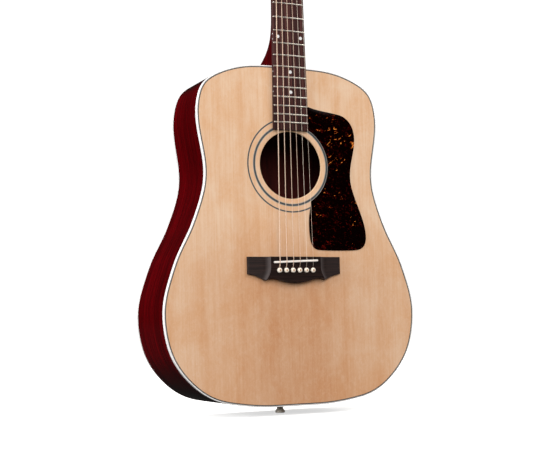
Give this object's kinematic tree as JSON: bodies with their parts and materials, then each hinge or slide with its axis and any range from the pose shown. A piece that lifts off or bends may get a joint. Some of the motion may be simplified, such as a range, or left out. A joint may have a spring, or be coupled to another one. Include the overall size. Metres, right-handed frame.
{
  "type": "acoustic guitar",
  "caption": "Steel-string acoustic guitar with a flat spruce top, dark red body, long fretted neck, pinned bridge, pickguard and a slanted head with geared tuners.",
  "frame": {"origin": "centre of the end pin's flat outer face, at the tail of the body", "axes": "+Z from the tail along the neck to the head, -Y out of the soundboard, +Y out of the back, +X to the treble side"},
  "size_m": [0.4092, 0.1401, 1.0641],
  "materials": {
    "spruce_top": "gloss lacquer, aged honey",
    "spruce_brace": "bare planed spruce",
    "mahogany_dark": "deep red stained gloss",
    "mahogany_bare": "bare planed mahogany",
    "rosewood": "oiled, open grain",
    "maple": "bare",
    "ivory_plastic": "polished",
    "bone": "polished",
    "black_plastic": "polished",
    "tortoise_plastic": "polished, red-brown flecks",
    "nickel": "polished nickel plate",
    "steel": "bright drawn rod",
    "brass": "turned",
    "bronze_wound": "wound phosphor bronze",
    "plain_steel": "plain drawn steel"
  },
  "bodies": {
    "guitar": {"soundboard": "spruce_top", "back": "mahogany_dark", "side_bass": "mahogany_dark", "side_treble": "mahogany_dark", "top_binding": "ivory_plastic", "back_binding": "ivory_plastic", "rosette_inner_ring": "black_plastic", "rosette_outer_ring": "black_plastic", "top_lining": "mahogany_bare", "back_lining": "mahogany_bare", "neck_block": "mahogany_bare", "tail_block": "mahogany_bare", "x_brace_bass": "spruce_brace", "x_brace_treble": "spruce_brace", "tone_bar": "spruce_brace", "upper_transverse_brace": "spruce_brace", "bridge_plate": "maple", "back_brace_1": "spruce_brace", "back_brace_2": "spruce_brace", "back_brace_3": "spruce_brace", "back_brace_4": "spruce_brace", "pickguard": "tortoise_plastic", "bridge": "rosewood", "saddle": "bone", "end_pin": "ivory_plastic", "neck": "mahogany_dark", "heel_cap": "ivory_plastic", "fretboard": "rosewood", "frets": "nickel", "nut": "bone", "truss_rod": "steel", "truss_rod_cover": "black_plastic", "headstock_veneer": "rosewood", "tuner_plate_bass": "nickel", "tuner_plate_treble": "nickel", "string_1": "bronze_wound", "string_2": "bronze_wound", "string_3": "bronze_wound", "string_4": "bronze_wound", "string_5": "plain_steel", "string_6": "plain_steel"},
    "bridge_pin_1": {"bridge_pin_1": "ivory_plastic"},
    "bridge_pin_2": {"bridge_pin_2": "ivory_plastic"},
    "bridge_pin_3": {"bridge_pin_3": "ivory_plastic"},
    "bridge_pin_4": {"bridge_pin_4": "ivory_plastic"},
    "bridge_pin_5": {"bridge_pin_5": "ivory_plastic"},
    "bridge_pin_6": {"bridge_pin_6": "ivory_plastic"},
    "tuner_post_1": {"tuner_post_1": "nickel"},
    "tuner_button_1": {"tuner_button_1": "nickel"},
    "tuner_post_2": {"tuner_post_2": "nickel"},
    "tuner_button_2": {"tuner_button_2": "nickel"},
    "tuner_post_3": {"tuner_post_3": "nickel"},
    "tuner_button_3": {"tuner_button_3": "nickel"},
    "tuner_post_4": {"tuner_post_4": "nickel"},
    "tuner_button_4": {"tuner_button_4": "nickel"},
    "tuner_post_5": {"tuner_post_5": "nickel"},
    "tuner_button_5": {"tuner_button_5": "nickel"},
    "tuner_post_6": {"tuner_post_6": "nickel"},
    "tuner_button_6": {"tuner_button_6": "nickel"},
    "truss_rod_nut": {"truss_rod_nut": "brass"}
  },
  "joints": [
    {"name": "bridge_pin_1_pull", "type": "slide", "parent": "guitar", "child": "bridge_pin_1", "axis": [0, -1, 0], "range_m": [0, 0.03]},
    {"name": "bridge_pin_2_pull", "type": "slide", "parent": "guitar", "child": "bridge_pin_2", "axis": [0, -1, 0], "range_m": [0, 0.03]},
    {"name": "bridge_pin_3_pull", "type": "slide", "parent": "guitar", "child": "bridge_pin_3", "axis": [0, -1, 0], "range_m": [0, 0.03]},
    {"name": "bridge_pin_4_pull", "type": "slide", "parent": "guitar", "child": "bridge_pin_4", "axis": [0, -1, 0], "range_m": [0, 0.03]},
    {"name": "bridge_pin_5_pull", "type": "slide", "parent": "guitar", "child": "bridge_pin_5", "axis": [0, -1, 0], "range_m": [0, 0.03]},
    {"name": "bridge_pin_6_pull", "type": "slide", "parent": "guitar", "child": "bridge_pin_6", "axis": [0, -1, 0], "range_m": [0, 0.03]},
    {"name": "tuner_button_1_turn", "type": "hinge", "parent": "guitar", "child": "tuner_button_1", "pos_m": [-0.0205, -0.0333, 0.91321], "axis": [1, 0, 0], "continuous": true},
    {"name": "tuner_post_1_turn", "type": "hinge", "parent": "guitar", "child": "tuner_post_1", "pos_m": [-0.0205, -0.03121, 0.92161], "axis": [0, 0.9703, -0.2419], "continuous": true},
    {"name": "tuner_button_2_turn", "type": "hinge", "parent": "guitar", "child": "tuner_button_2", "pos_m": [-0.0215, -0.02314, 0.95397], "axis": [1, 0, 0], "continuous": true},
    {"name": "tuner_post_2_turn", "type": "hinge", "parent": "guitar", "child": "tuner_post_2", "pos_m": [-0.0215, -0.02105, 0.96236], "axis": [0, 0.9703, -0.2419], "continuous": true},
    {"name": "tuner_button_3_turn", "type": "hinge", "parent": "guitar", "child": "tuner_button_3", "pos_m": [-0.0225, -0.01298, 0.99472], "axis": [1, 0, 0], "continuous": true},
    {"name": "tuner_post_3_turn", "type": "hinge", "parent": "guitar", "child": "tuner_post_3", "pos_m": [-0.0225, -0.01089, 1.00311], "axis": [0, 0.9703, -0.2419], "continuous": true},
    {"name": "tuner_button_4_turn", "type": "hinge", "parent": "guitar", "child": "tuner_button_4", "pos_m": [0.0225, -0.01298, 0.99472], "axis": [1, 0, 0], "continuous": true},
    {"name": "tuner_post_4_turn", "type": "hinge", "parent": "guitar", "child": "tuner_post_4", "pos_m": [0.0225, -0.01089, 1.00311], "axis": [0, 0.9703, -0.2419], "continuous": true},
    {"name": "tuner_button_5_turn", "type": "hinge", "parent": "guitar", "child": "tuner_button_5", "pos_m": [0.0215, -0.02314, 0.95397], "axis": [1, 0, 0], "continuous": true},
    {"name": "tuner_post_5_turn", "type": "hinge", "parent": "guitar", "child": "tuner_post_5", "pos_m": [0.0215, -0.02105, 0.96236], "axis": [0, 0.9703, -0.2419], "continuous": true},
    {"name": "tuner_button_6_turn", "type": "hinge", "parent": "guitar", "child": "tuner_button_6", "pos_m": [0.0205, -0.0333, 0.91321], "axis": [1, 0, 0], "continuous": true},
    {"name": "tuner_post_6_turn", "type": "hinge", "parent": "guitar", "child": "tuner_post_6", "pos_m": [0.0205, -0.03121, 0.92161], "axis": [0, 0.9703, -0.2419], "continuous": true},
    {"name": "truss_rod_nut_turn", "type": "hinge", "parent": "guitar", "child": "truss_rod_nut", "pos_m": [0, -0.0525, 0.895], "axis": [0, 0, 1], "range_deg": [-180, 180]}
  ],
  "couplings": [
    {"joint": "tuner_post_1_turn", "follows": "tuner_button_1_turn", "ratio": 0.071429},
    {"joint": "tuner_post_2_turn", "follows": "tuner_button_2_turn", "ratio": 0.071429},
    {"joint": "tuner_post_3_turn", "follows": "tuner_button_3_turn", "ratio": 0.071429},
    {"joint": "tuner_post_4_turn", "follows": "tuner_button_4_turn", "ratio": 0.071429},
    {"joint": "tuner_post_5_turn", "follows": "tuner_button_5_turn", "ratio": 0.071429},
    {"joint": "tuner_post_6_turn", "follows": "tuner_button_6_turn", "ratio": 0.071429}
  ]
}
